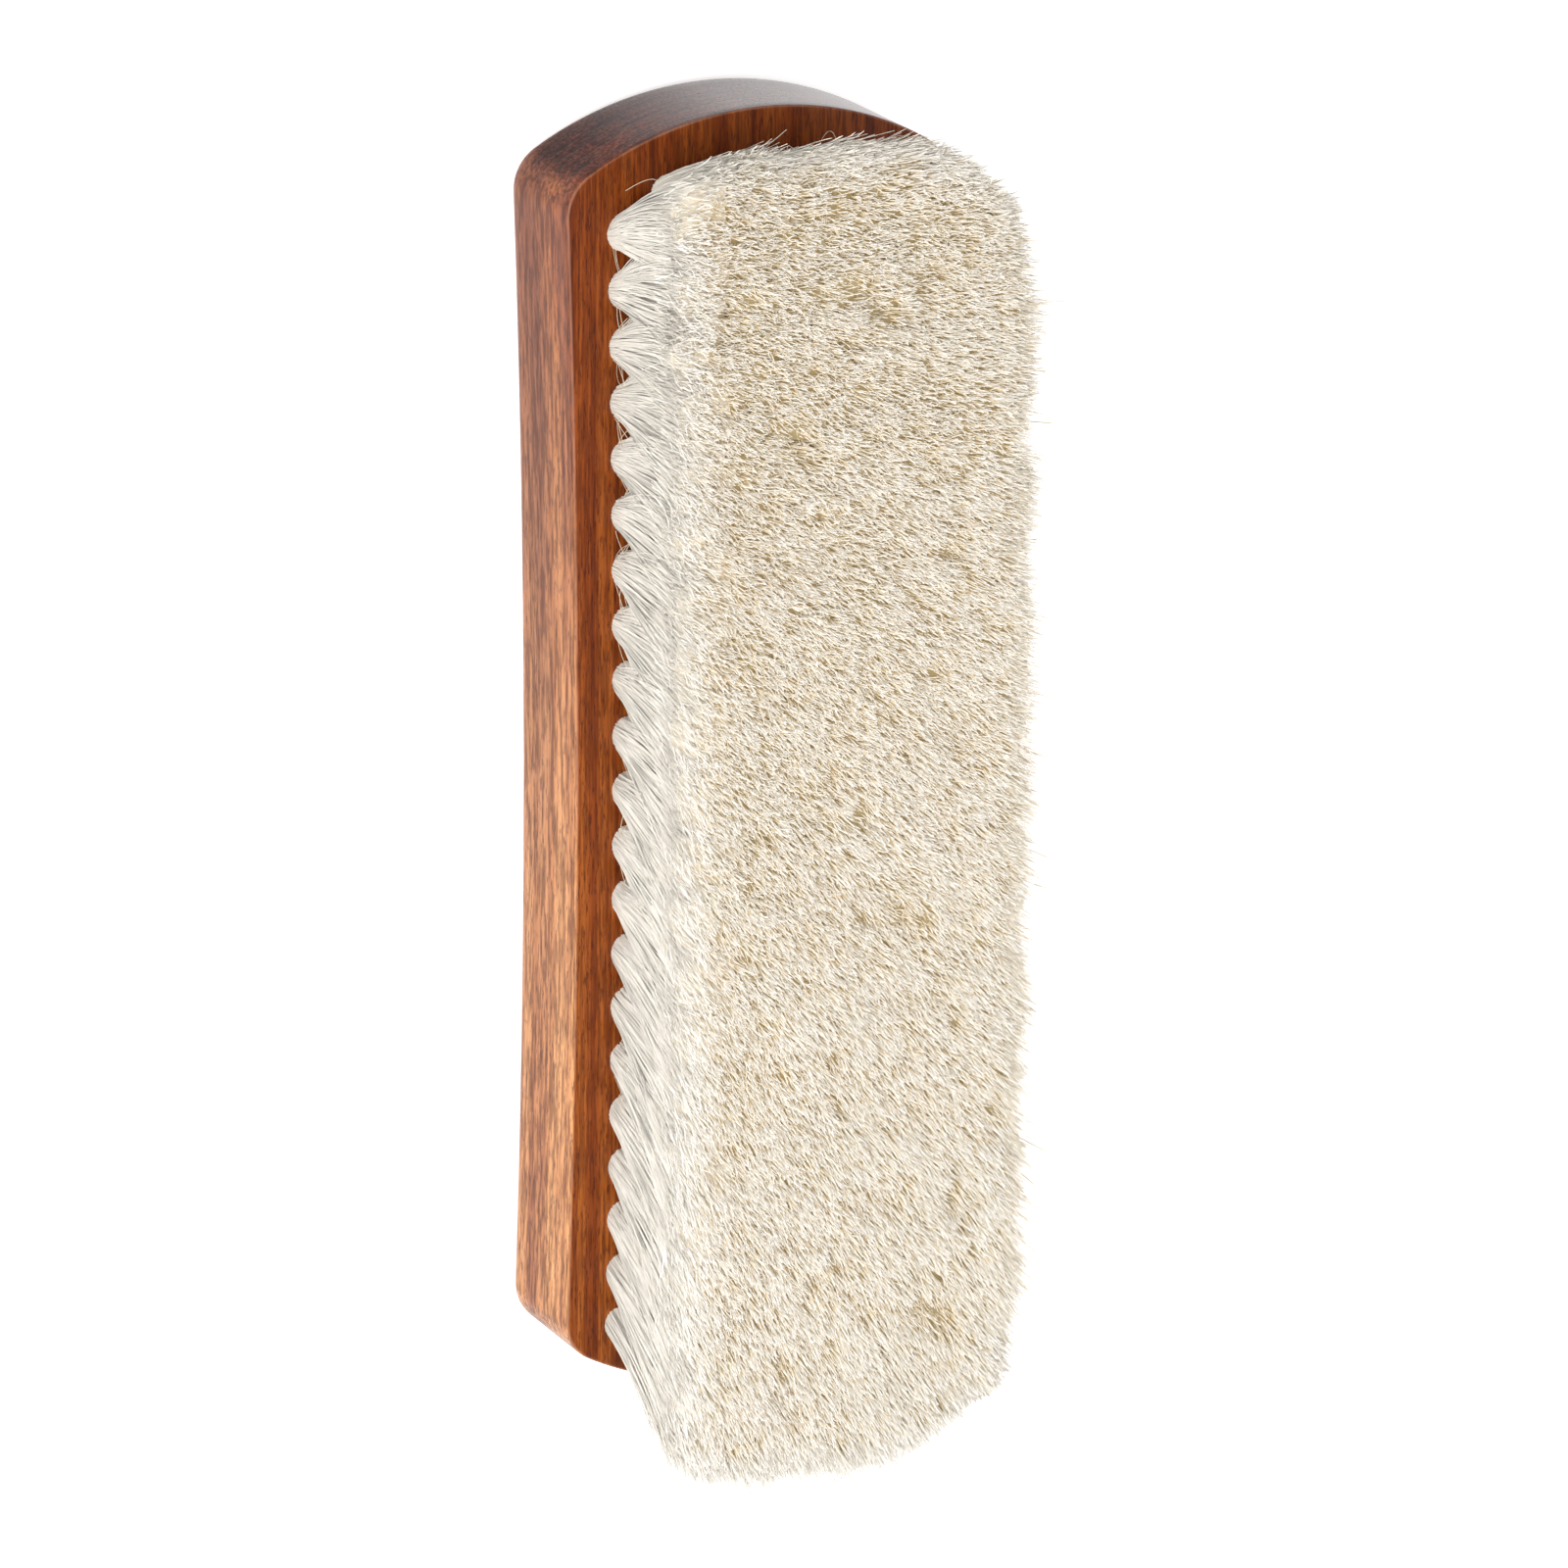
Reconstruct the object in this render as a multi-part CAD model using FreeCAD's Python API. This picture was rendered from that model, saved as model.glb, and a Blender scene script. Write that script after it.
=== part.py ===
import FreeCAD, Part
import math
import os

# A shoe shine brush: one wooden block, and rows of hair tufts that fan out of slanted blind holes.
# Each tuft is folded double round a flat wire anchor, which is wedged across the bottom of its hole.
# The brush lies on its back: +X runs along the block, +Z points the way the bristles do,
# and the origin is the centre of the flat back. All sizes are in millimetres.

# Block
block_length = 170.0  # over the two bowed ends
block_width = 53.0  # at the corners, where it is widest
block_height = 18.0  # from the back to the bristle face
waist_depth = 1.4  # how far each long side curves in at the middle
end_rise = 8.3  # how far each end bows out past its corners
back_round = 3.0  # radius round the edge of the back
back_flats = 4  # narrow flats that make up that round
back_corner_round = 3.0  # corner radius of the flat back, inside that rounded edge
face_bevel = 0.4  # broken edge round the bristle face

# Tuft holes
row_count = 7  # rows along the block
tufts_per_row = 21
row_margin = 7.7  # from the corners' width to the outer rows' holes
end_margin = 8.9  # from the tip of each end to the nearest hole of the middle row
end_bow = 1.5  # how much further out the middle row ends than the outer rows do
hole_size = 4.6  # across the hole
hole_depth = 11.0
fan_depth = 250.0  # how far under the bristle face the slanted holes' axes meet

# Tufts
bristle_height = 28.0  # from the bristle face to the trimmed tips
shoulder_height = 9.0  # where the hair of the rim's tufts has spread enough to meet
tuft_gap = 0.3  # left between neighbours

# Anchors
anchor_thickness = 0.4
anchor_height = 1.6
fold_height = 1.2  # hair of the fold, under the anchor


def arc_radius(half_chord, rise):
    """Radius of the arc that rises this much over a chord."""
    return (half_chord ** 2 + rise ** 2) / (2 * rise)


half_length = block_length / 2
half_width = block_width / 2
corner_x = half_length - end_rise
corner_round = back_round + back_corner_round
end_radius = arc_radius(half_width, end_rise)
side_radius = arc_radius(corner_x, waist_depth)
outer_row = (row_count - 1) / 2


def block_half_width(x):
    """Half the width of the waisted block at a station along it."""
    return half_width - waist_depth + side_radius - math.sqrt(side_radius ** 2 - x ** 2)


def unit(vector):
    """Vector of length one with the same direction."""
    return vector / vector.Length


def block_arc_centres():
    """Centres of the +X end's arc, the +Y side's arc, and the corner round that touches both."""
    end_centre = FreeCAD.Vector(half_length - end_radius, 0, 0)
    side_centre = FreeCAD.Vector(0, half_width - waist_depth + side_radius, 0)
    from_end = end_radius - corner_round
    from_side = side_radius + corner_round
    apart = side_centre - end_centre
    along = (from_end ** 2 - from_side ** 2 + apart.Length ** 2) / (2 * apart.Length)
    aside = math.sqrt(from_end ** 2 - along ** 2)
    direction = unit(apart)
    corner_centre = end_centre + direction * along + FreeCAD.Vector(direction.y, -direction.x, 0) * aside
    return end_centre, side_centre, corner_centre


def block_outline(inset, height):
    """Plan outline of the block at one height, drawn in by an inset: eight arcs, smoothly joined."""
    end_centre, side_centre, corner_centre = block_arc_centres()
    to_end = unit(corner_centre - end_centre)
    to_side = unit(side_centre - corner_centre)
    end_middle = FreeCAD.Vector(half_length - inset, 0, 0)
    end_limit = end_centre + to_end * (end_radius - inset)
    corner_middle = corner_centre + unit(to_end + to_side) * (corner_round - inset)
    side_limit = side_centre - to_side * (side_radius + inset)
    side_middle = FreeCAD.Vector(0, half_width - waist_depth - inset, 0)
    half_turn = [
        (end_limit, 1, -1),
        (end_middle, 1, 1),
        (end_limit, 1, 1),
        (corner_middle, 1, 1),
        (side_limit, 1, 1),
        (side_middle, 1, 1),
        (side_limit, -1, 1),
        (corner_middle, -1, 1),
        (end_limit, -1, 1),
    ]
    arcs = []
    for turn in (1, -1):
        stops = [FreeCAD.Vector(p.x * mx * turn, p.y * my * turn, height) for p, mx, my in half_turn]
        for start in range(0, len(stops) - 1, 2):
            arcs.append(Part.Arc(*stops[start:start + 3]).toShape())
    return Part.Wire(arcs)


def plain_block():
    """The block before drilling: the edge of its back rounded, the edge of its bristle face just broken."""
    outlines = []
    for step in range(back_flats + 1):
        angle = math.radians(90) * step / back_flats
        inset = back_round * (1 - math.sin(angle))
        height = back_round * (1 - math.cos(angle))
        outlines.append(block_outline(inset, height))
    outlines.append(block_outline(0, block_height - face_bevel))
    outlines.append(block_outline(face_bevel, block_height))
    solid = True
    ruled = True
    return Part.makeLoft(outlines, solid, ruled)


def row_half_span(row):
    """Half the length of a row, between its outermost possible holes."""
    return half_length - end_margin - end_bow * (row / outer_row) ** 2


def row_pitch(row):
    """Spacing of the holes along a row. The stagger takes up half a pitch of the row's length."""
    return 2 * row_half_span(row) / (tufts_per_row - 0.5)


def row_stagger(row):
    """Neighbouring rows are moved a quarter pitch either way."""
    side = 1 if round(row + outer_row) % 2 else -1
    return side * row_pitch(row) / 4


def hole_mouth(row, column):
    """Centre of a hole in the bristle face. The rows draw together with the waist."""
    x = (column - (tufts_per_row - 1) / 2) * row_pitch(row) + row_stagger(row)
    outer_share = (half_width - row_margin) / half_width
    y = row / outer_row * outer_share * block_half_width(x)
    return FreeCAD.Vector(x, y, block_height)


def tuft_axis(mouth):
    """Direction of a tuft, per millimetre of height: all axes meet in one point far under the block."""
    return FreeCAD.Vector(mouth.x / fan_depth, mouth.y / fan_depth, 1)


def hexagon(centre, across_x, across_slant):
    """Level hexagon with equal angles and two sides square to X, from its half widths."""
    slant = math.radians(60)
    side_y = (across_slant - across_x * math.cos(slant)) / math.sin(slant)
    point_y = across_slant / math.sin(slant)
    corners = [
        (across_x, side_y),
        (0, point_y),
        (-across_x, side_y),
        (-across_x, -side_y),
        (0, -point_y),
        (across_x, -side_y),
    ]
    return [centre + FreeCAD.Vector(x, y, 0) for x, y in corners]


def polygon_face(points):
    """Flat face inside a closed run of points."""
    return Part.Face(Part.makePolygon(points + points[:1]))


def stacked_solid(sections):
    """Solid through level hexagons whose sides are parallel, so that all its faces are flat."""
    faces = [polygon_face(sections[0]), polygon_face(sections[-1])]
    for lower, upper in zip(sections, sections[1:]):
        for i in range(len(lower)):
            j = (i + 1) % len(lower)
            faces.append(polygon_face([lower[i], lower[j], upper[j], upper[i]]))
    return Part.Solid(Part.Shell(faces))


def slant_spacing(row, column):
    """Distance to the nearest hole of the rows beside this one, square to the hexagon's slanted sides."""
    here = hole_mouth(row, column)
    slant = math.radians(60)
    distances = []
    for side_row in (row - 1, row + 1):
        for side_column in (column - 1, column, column + 1):
            offset = hole_mouth(side_row, side_column) - here
            distances.append(abs(offset.x) * math.cos(slant) + abs(offset.y) * math.sin(slant))
    return min(distances)


def tuft_cell(row, column, rise):
    """The room that a tuft has among its neighbours, this far above the bristle face."""
    mouth = hole_mouth(row, column)
    spread = 1 + rise / fan_depth
    across_x = (row_pitch(row) * spread - tuft_gap) / 2
    across_slant = (slant_spacing(row, column) * spread - tuft_gap) / 2
    return hexagon(mouth + tuft_axis(mouth) * rise, across_x, across_slant)


def hole_section(row, column, depth):
    """Level section of a hole, this far under the bristle face."""
    mouth = hole_mouth(row, column)
    return hexagon(mouth - tuft_axis(mouth) * depth, hole_size / 2, hole_size / 2)


def tuft_hole(row, column):
    """The blind hole of one tuft, as the solid that the drill takes away."""
    axis = tuft_axis(hole_mouth(row, column))
    return polygon_face(hole_section(row, column, 0)).extrude(axis * -hole_depth)


def anchor(row, column):
    """Flat wire on edge across the hole, its ends against the wood, just above the fold of the hair."""
    mouth = hole_mouth(row, column)
    axis = tuft_axis(mouth)
    centre = mouth - axis * (hole_depth - fold_height)
    half_span = hole_size / 2
    half_thickness = anchor_thickness / 2
    corners = [(-1, -1), (1, -1), (1, 1), (-1, 1)]
    base = [centre + FreeCAD.Vector(x * half_span, y * half_thickness, 0) for x, y in corners]
    return polygon_face(base).extrude(axis * anchor_height)


def on_rim(row, column):
    """Whether a tuft stands on the rim of the field, where its side shows."""
    return abs(row) == outer_row or column in (0, tufts_per_row - 1)


def tuft(row, column):
    """One tuft: it fills its hole round the anchor, then spreads until it meets its neighbours."""
    sections = [hole_section(row, column, hole_depth), hole_section(row, column, 0)]
    if on_rim(row, column):
        sections.append(tuft_cell(row, column, shoulder_height))
    sections.append(tuft_cell(row, column, bristle_height))
    return stacked_solid(sections).cut(anchor(row, column)).Solids[0]


def save(name, solids):
    """Writes the solids of one node."""
    Part.makeCompound(solids).exportStep("parts/" + name + ".step")


os.makedirs("parts", exist_ok=True)
rows = [index - outer_row for index in range(row_count)]
columns = range(tufts_per_row)

holes = [tuft_hole(row, column) for row in rows for column in columns]
save("block", plain_block().cut(Part.makeCompound(holes)).Solids)
for column in columns:
    number = f"{column + 1:02d}"
    save("tufts_" + number, [tuft(row, column) for row in rows])
    save("anchors_" + number, [anchor(row, column) for row in rows])
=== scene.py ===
import math
from collections import namedtuple

import bpy
import numpy as np
from mathutils import Matrix, Vector, geometry


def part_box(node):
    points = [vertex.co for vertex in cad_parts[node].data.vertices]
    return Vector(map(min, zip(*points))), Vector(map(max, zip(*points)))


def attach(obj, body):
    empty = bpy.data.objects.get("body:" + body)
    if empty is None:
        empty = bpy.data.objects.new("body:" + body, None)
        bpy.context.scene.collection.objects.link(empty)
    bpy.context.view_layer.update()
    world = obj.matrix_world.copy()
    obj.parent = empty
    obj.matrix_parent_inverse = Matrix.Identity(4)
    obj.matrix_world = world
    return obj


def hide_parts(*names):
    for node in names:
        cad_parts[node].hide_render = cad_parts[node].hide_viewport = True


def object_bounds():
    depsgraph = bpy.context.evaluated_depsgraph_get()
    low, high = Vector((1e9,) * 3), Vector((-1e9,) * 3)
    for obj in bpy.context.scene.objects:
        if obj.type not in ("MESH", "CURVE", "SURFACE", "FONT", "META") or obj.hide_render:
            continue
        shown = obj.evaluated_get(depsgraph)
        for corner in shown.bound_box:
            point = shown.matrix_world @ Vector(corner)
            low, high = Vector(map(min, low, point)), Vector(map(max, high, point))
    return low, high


# The shoe shine brush: a lacquered wooden block with round drilled holes, and tufts of thin strands of hair.
# Sizes are in millimetres, and MM turns them into the frame's metres. Where a value depends on the end or
# the side of the brush, it is given by the sign of X or Y there, and 0 stands for the middle.

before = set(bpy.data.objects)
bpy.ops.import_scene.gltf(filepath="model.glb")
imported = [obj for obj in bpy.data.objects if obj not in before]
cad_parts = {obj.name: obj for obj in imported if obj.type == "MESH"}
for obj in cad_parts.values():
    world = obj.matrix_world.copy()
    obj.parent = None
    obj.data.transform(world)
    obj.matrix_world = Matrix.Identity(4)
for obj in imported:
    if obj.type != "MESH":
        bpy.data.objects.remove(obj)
cad_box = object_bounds()

MM = 0.001
FULL_TURN = 2 * math.pi
TINY = 1e-6  # keeps divisions clear of zero
TUFT_CORNERS = 6  # of a tuft's level section in the frame
LEVEL = 0.01  # corners this near a height lie at it

# Block: what its box doesn't give
HALF_WIDTH = 26.5  # at the corners, before they are rounded
WAIST_DEPTH = 1.4
END_RISE = 8.3
CORNER_ROUND = 6.0
BACK_ROUND = 3.0
FACE_EDGE_ROUND = 0.35
FACE_LAND = 0.6  # plain ring between that round and the drilled face
HOLE_RADIUS = 2.3
HOLE_SIDES = 20
END_STEPS = 40  # of the arc at an end
CORNER_STEPS = 10
SIDE_STEPS = 60
BACK_RINGS = 9  # round the edge of the back
WALL_SHARES = np.linspace(0.12, 0.88, 7)  # of the upright wall, at its rings
BACK_WEAR = 0.25  # how rubbed the edge of the back is
FACE_EDGE_WEAR = (0, 0.6, 1, 0.6, 0)  # and the edge of the bristle face, at its rings
SHARP_EDGE = math.radians(40)  # edges that turn more are shaded sharp
MERGE = 1e-5  # points of the drilled face that are nearer count as one
INSIDE_HOLE = 0.98  # triangles whose middle lies within this share of a hole's radius are left out

# Trimmed field of tips
FIELD_SIDES = {1: 23.8, -1: 24.3}  # how far it reaches across
FIELD_ENDS = {1: 85.8, -1: 89.4}  # how far it reaches along, in the middle
FIELD_SKEW = {1: 0.0, -1: 0.14}  # how much less per millimetre from the middle towards +Y
FIELD_CORNERS = {1: 5.0, -1: 20.0}  # corner radius on the +Y side, and on the more worn -Y side
END_DROP = 1.5  # the tips are this much lower at the ends
SIDE_DROP = {1: 3.2, -1: 0.3}  # and at the sides
RIM_SOFT = 4.5  # width of that rounded rim
PAST_RIM = 1.3  # the rounding goes on for tips outside the rim, up to this many times its width
LUMP_WAVES = 24
LUMP_SIZE = 16.0
LUMP_LEAN = 0.45  # how far the tips lean with the lumps
LUMP_RISE = 0.35  # and how much higher they stand
PIT_COUNT = 130
PIT_SIZES = (0.5, 1.4)
PIT_DEPTHS = (0.5, 5)
PIT_CLEAR = 3.0  # there are no pits this near the rim
PIT_FADE = 6.0  # and over this width they come to their full depth

# Lie of a tuft
ROOT_RADIUS = 2.15  # where it leaves its hole
TIP_HALF = np.array([4.15, 3.65])  # half its room at the trimmed tips, along X and Y
SQUARENESS = 8  # power of the soft square that it spreads into
FLARE = 1.4  # how early it spreads
SWEEP = 0.2  # the tips are set this far along X
BRUSHED = -1.5  # and brushed this far along X

# Kinds of strands. Shares are of the height, at the strand's rings; facing is how much a strand is shaded
# as part of its tuft; curl is how far its end bends aside; jitter is how unevenly strands fill the tuft, as a
# share of its half width; ragged is how much shorter some are.
Strands = namedtuple("Strands", "count radius shares facing curl jitter ragged")
TIP = Strands(
    count=620, radius=0.115, shares=np.array([0.75, 0.90, 0.955, 1]), facing=0.6, curl=0.6,
    jitter=0.13, ragged=0
)
RIM_TIP = TIP._replace(shares=np.array([0.3, 0.75, 0.93, 1]))  # longer, where they show from the side
SIDE = Strands(
    count=420, radius=0.085, shares=np.array([-0.05, 0.1, 0.25, 0.45, 0.72, 1]), facing=0.85, curl=0.15,
    jitter=0.25, ragged=0.5
)
RIM_UNEVEN = 0.25  # how unevenly the longer tip strands start, as a share of the height
SIDE_UNEVEN = 0.07  # and how unevenly the rings of side strands lie
SIDE_TURN = math.radians(125)  # side strands go this far round their tuft, each way
SIDE_REACH = (0.95, 1.04)  # range of their distance from its middle, as shares of its half width

# Form of a strand
STRAND_SIDES = 3
SIDES_FROM = np.array([0.1, 1.0, 0.1])  # direction that a strand's sides are counted from
THICKNESS = (0.75, 1.2)  # range of the radii, as shares of their kind's
RIM_THIN = 0.65  # share of the radius that is left at the rim
TAPER_START = 0.9  # share of the height where a strand starts to thin
FINE_TIP = 0.45  # share of the radius that is left at its tip
CURL_START = 0.75  # share of the height where it starts to bend aside
MAP_AROUND = (0.15, 0.85)  # part of its cell of the map that its walls take
MAP_UP = (0.1, 0.9)

# How unevenly clumps of strands and single strands lie: curl is a share of their kind's
Scatter = namedtuple("Scatter", "lean curl cut")
CLUMP = Scatter(lean=0.4, curl=0.6, cut=0.2)
STRAND = Scatter(lean=0.3, curl=0.8, cut=0.25)
CLUMP_SIZE = 7  # strands that stick together
CLUMP_PULL = 0.65  # how far they are drawn to the leading strand of their clump, at most
WILD_SHARE = 0.015  # of the strands lean more
WILD_LEAN = 2  # times as far
SHORT_CUT = 1.5  # how much shorter the shortest strands are
SHORT_POWER = 4  # how few are that short

# Rim of the field
END_FUZZ = {1: 0.4, 0: 0, -1: 0.9}  # how far the hair stands out past the ends
SIDE_FUZZ = 0.9  # and past the -Y side
CORNER_FUZZ = 0.3  # share of both at the corners
RIM_START = 0.4  # share of a tuft's half width where it starts to belong to the rim
RIM_WIDTH = 0.4  # and the share over which it comes to do so fully
RIM_DRAWN = 0.75  # how far side strands are drawn out to the rim
CORNER_DRAWN = 0.35  # and at the corners
RIM_FACING = 0.6  # how much a tuft at the rim is shaded as part of the rim
SHOWN_RIM = np.array([0.5, 1, 0.4])  # the way that the rim is shaded on the +Y side, at the +X end
OTHER_RIM = np.array([0.2, 0.4, 1])  # and on the other sides
TOP_FACING = 0.25  # how far the tips at the rim are shaded that way
UP_START = 0.55  # share of the height where strands start to be shaded as tips are
UP_WIDTH = 0.4  # and the share over which they come to do so fully

# Dense core of a tuft
CORE_DEPTH = 2.4  # it ends this far under the tips
CORE_SHARE = 1.04  # of the tuft's width
CORE_INSET = 0.2  # how much of that share the side strands take
INSET_GROWTH = 2  # how fast that inset grows towards the outside
ROOT_SHARE = 0.9  # of the core's width again, at the root
CORE_SIDES = 16
CORE_SHARES = np.array([0, 0.08, 0.2, 0.35, 0.55, 0.75, 0.93, 1])  # of the height, at its rings
CORE_TOP = 0.97  # share of the last ring's width that its top has

# How tan the hair is painted, from 0 to 1: painted warm shade between and under the tips, in sunk tips and in
# the pits
DEEP = 2.2  # under the tips, where painted shade makes the hair tan between the strands
SUNK_START = 0.3  # tips that end lower than this under the trimmed height get painted shade too
SUNK_SHADE_TAN = 0.3
MOST_SHADE_TAN = 0.8  # of strands
TIP_RINGS = 2  # at a strand's tip, which keep their painted shade on the outside of the rim
PALE_RIM = 4.0  # width of the pale rim of the tips
PALE_EDGE = 1.25  # paleness at the very edge, before it is held to 1
PALE_UNEVEN = 0.2
PALE_SIDE = {1: 1, 0: 0.5, -1: 0.15}  # how pale the rim is: palest on the lit +Y side, with more painted shade on the shaded ends and -Y side
SIDE_SHADE_TAN = 0.5  # painted warm shade on side strands where the rim isn't pale
# painted shade on the tops of the cores, which show in the pits; less on the +Y side
CORE_TOP_SHADE_TAN = {1: 0.4, 0: 1, -1: 1}
STRAY_TAN = 0.5

# Shades of the hair, from 0, which is dark, to 1: a random tone per strand, with painted light by side on top
TIP_SHADE = (0, 1)
RIM_DARKER = 0.5  # painted shade: how much of its shade a tip loses at the lit +Y rim
# painted light: side strands and cores are darker on the lit +Y side, lighter on the shaded ends and -Y side
SIDE_SHADE = {1: (0.04, 0.18), 0: (0.2, 0.7), -1: (0.3, 0.8)}
CORE_SHADE = {1: 0.2, 0: 0.4, -1: 0.5}
STRAY_SHADE = (0.4, 1)

# Loose hairs. Ranges hold the least and the most along X, Y and Z, at the +X end or the +Y side.
GAP_HAIRS = 60  # along each side
GAP_HIGH = ((1.2, 0.8, 3), (2.4, 2.4, 9))  # from a root to the hair's higher end
GAP_LOW = ((-2.2, 1.0, 0), (-1.2, 2.0, 2))  # from the next root to its lower end
GAP_BOW = ((-0.4, 0, -0.4), (0.4, 0.5, 0.4))
END_HAIRS = 16  # at each end
END_FROM = ((3, -3, 8), (5, 3, 22))  # from a root to where the hair starts
END_ALONG = ((0, -8, -5), (4, 8, 5))  # from there to where it ends
END_BOW = ((1, -2, 0), (4.5, 2, 3))
TIP_HAIRS = 12
TIP_FROM = ((-75, -18, -0.6), (75, 16, 0))  # from the middle of the tips
TIP_ALONG = ((-9, -9, -0.6), (-3, 3, 0.4))
TIP_BOW = (1, 1, 0.2)  # usual bow along X, Y and Z
STRAY_RADIUS = 0.04
STRAY_RINGS = 12

# Seeds of the random draws
LUMP_SEED = 11
PIT_SEED = 12
ROW_SEED = 100  # of the first cross-row
STRAY_SEED = 200

# Noises of the materials: scale of the place along X, Y and Z, then size and detail
Noise = namedtuple("Noise", "scale size detail")
STREAKS = Noise((14, 1000, 550), 0.5, 4)
FINE_GRAIN = Noise((60, 1000, 550), 2.8, 3)
PORES = Noise((110, 1000, 550), 5.0, 2)
RUBBED_PATCHES = Noise((90, 90, 90), 1.0, 2)
END_STREAKS = Noise((300, 40, 1000), 1.0, 4)
HAIR_SCALES = Noise((1, 1, 1), 9000, 1)
DRAWN_LINES = Noise((300, 6000, 6000), 1, 2)
NOISE_ROUGHNESS = 0.6
BUMP_STRENGTH = 0.5

# Wood. Ramps hold positions and colours, tints darken what they are laid over, and values are of a noise.
STREAK_RAMP = [
    (0.36, (0.33, 0.114, 0.040)),
    (0.46, (0.51, 0.210, 0.075)),
    (0.55, (0.64, 0.312, 0.124)),
    (0.66, (0.44, 0.174, 0.062)),
]
FINE_RAMP = [(0.41, (0.50, 0.43, 0.39)), (0.58, (1.18, 1.16, 1.14))]
BAND_RAMP = [(0.05, (0, 0, 0)), (0.30, (1, 1, 1)), (0.52, (0.8, 0.8, 0.8)), (0.72, (0, 0, 0))]  # painted shade: a darker band up the wall
END_RAMP = [(0.38, (0.45, 0.40, 0.38)), (0.62, (2.00, 1.80, 1.70))]
# Painted shade: the band's tint and the darker tint towards the +X end
BAND_TINT = (0.55, 0.48, 0.56, 1)
END_SHADE_TINT = (0.50, 0.29, 0.17, 1)
# The bristle face is redder and darker: partly a deeper stain, partly painted shade
FACE_STAIN_AND_SHADE_TINT = (0.49, 0.272, 0.104, 1)
END_WALL_TINT = (0.24, 0.155, 0.165, 1)
PORE_COLOUR = (0.085, 0.022, 0.014, 1)
RUBBED_COLOUR = (0.50, 0.24, 0.15, 1)
FACE_UP = (0.5, 0.95)  # Z of the normal, from the wall to the bristle face
WALL_ALONG = (0.55, 0.85)  # X of the normal, from the long side to the end wall
FACE_FINE = 0.7  # share of the fine grain on the bristle face
BAND_PLACES = (-0.06, 0.07)  # along X in metres, where the painted shade band grows
BAND_SHARES = (0.25, 1)
DARKER_END_PLACES = (-0.02, 0.07)  # and where the painted shade grows towards the +X end
DARKER_END_SHARES = (0, 0.9)
FACE_DARKER = 0.45  # share of that painted shade on the bristle face
PORE_VALUES = (0.54, 0.66)
PORE_SHARE = 0.7  # of the pores' colour
PORE_RELIEF = 0.05
END_RELIEF = 0.5
PATCH_VALUES = (0.35, 0.65)
RUBBED_SHARES = (0.1, 0.5)
FINE_VALUES = (0.4, 0.6)
WOOD_ROUGHNESS = (0.58, 0.45)
WOOD_SPECULAR = 0.1
COAT_WEIGHT = 0.4
END_WALL_TURN = (0.42, 0.05)  # Y of the normal, along the end wall
END_WALL_COAT = (-0.35, 0.6)  # what that adds to the weight of the coat
COAT_IOR = 1.29
COAT_ROUGHNESS = 0.19

# Hair and wire
# Painted warm shade: from the hair's own pale cream at 0 to a dark olive tan where shade falls between
# strands
TAN_AND_SHADE_RAMP = [
    (0.00, (0.97, 0.945, 0.90)),
    (0.25, (0.95, 0.905, 0.83)),
    (0.60, (0.88, 0.765, 0.57)),
    (0.80, (0.78, 0.635, 0.40)),
    (1.00, (0.42, 0.33, 0.18)),
]
SHADE_RAMP = [(0.00, (0.685, 0.65, 0.595)), (0.30, (0.93, 0.91, 0.87)), (1.00, (1.00, 1.00, 1.00))]
HAIR_ROUGHNESS = (0.52, 0.4)
WIRE_RAMP = [(0, (0.42, 0.41, 0.40)), (1, (0.62, 0.61, 0.60))]
LINE_VALUES = (0.3, 0.7)
WIRE_ROUGHNESS = (0.45, 0.28)
FINE_RELIEF = 0.01

# Stage
FLOOR_HALF = 3000
FLOOR_DROP = 0.1  # under the brush
FLOOR_GREY = (0.8, 0.8, 0.8, 1)
FLOOR_ROUGHNESS = 0.9
FLOOR_GLOW = 0.6  # lifts the floor to white where it is seen
SURROUND_LIGHT = 0.35  # on the object
LAMPS = [  # name, place and size in metres, and power in watts
    ("key", (-0.1, 1.15, 0.95), 0.7, 17.5),
    ("fill", (0.1, 0.45, 1.8), 1.2, 15.3),
    ("back", (0.1, -1.2, 0.7), 1.0, 5),
]
CAMERA_PLACE = Vector((345.7, 471.5, 950.6))
CAMERA_AIM = Vector((-3.65, -3.27, 20))
CAMERA_TOP = Vector((0.94835, -0.13655, -0.28634))  # direction that is up in the picture

block_high = np.array(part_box("block")[1]) / MM
block_height = block_high[2]
half_length = block_high[0]
tip_height = cad_box[1][2] / MM
bristle_height = tip_height - block_height
cross_rows = sorted(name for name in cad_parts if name.startswith("tufts"))


def tuft_centres(node, height):
    """Centres of a cross-row's tufts at a height where each has six corners, from -Y to +Y."""
    corners = np.array([vertex.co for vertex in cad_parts[node].data.vertices]) / MM
    corners = np.unique(corners[abs(corners[:, 2] - height) < LEVEL].round(3), axis=0)
    corners = corners[np.argsort(corners[:, 1])]
    return corners.reshape(-1, TUFT_CORNERS, 3).mean(1)


hole_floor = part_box(cross_rows[0])[0].z / MM
mouths = [tuft_centres(node, block_height) for node in cross_rows]
floors = [tuft_centres(node, hole_floor) for node in cross_rows]


def new_object(name, data):
    """Object in the scene that shows some data."""
    thing = bpy.data.objects.new(name, data)
    bpy.context.scene.collection.objects.link(thing)
    return thing


def new_mesh(name, points, faces):
    """Mesh object from points in millimetres."""
    mesh = bpy.data.meshes.new(name)
    mesh.from_pydata([tuple(point) for point in np.array(points) * MM], [], faces)
    mesh.validate()
    return new_object(name, mesh)


def unit(vectors):
    """Vectors of length one with the same directions."""
    return vectors / np.linalg.norm(vectors, axis=-1, keepdims=True)


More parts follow.
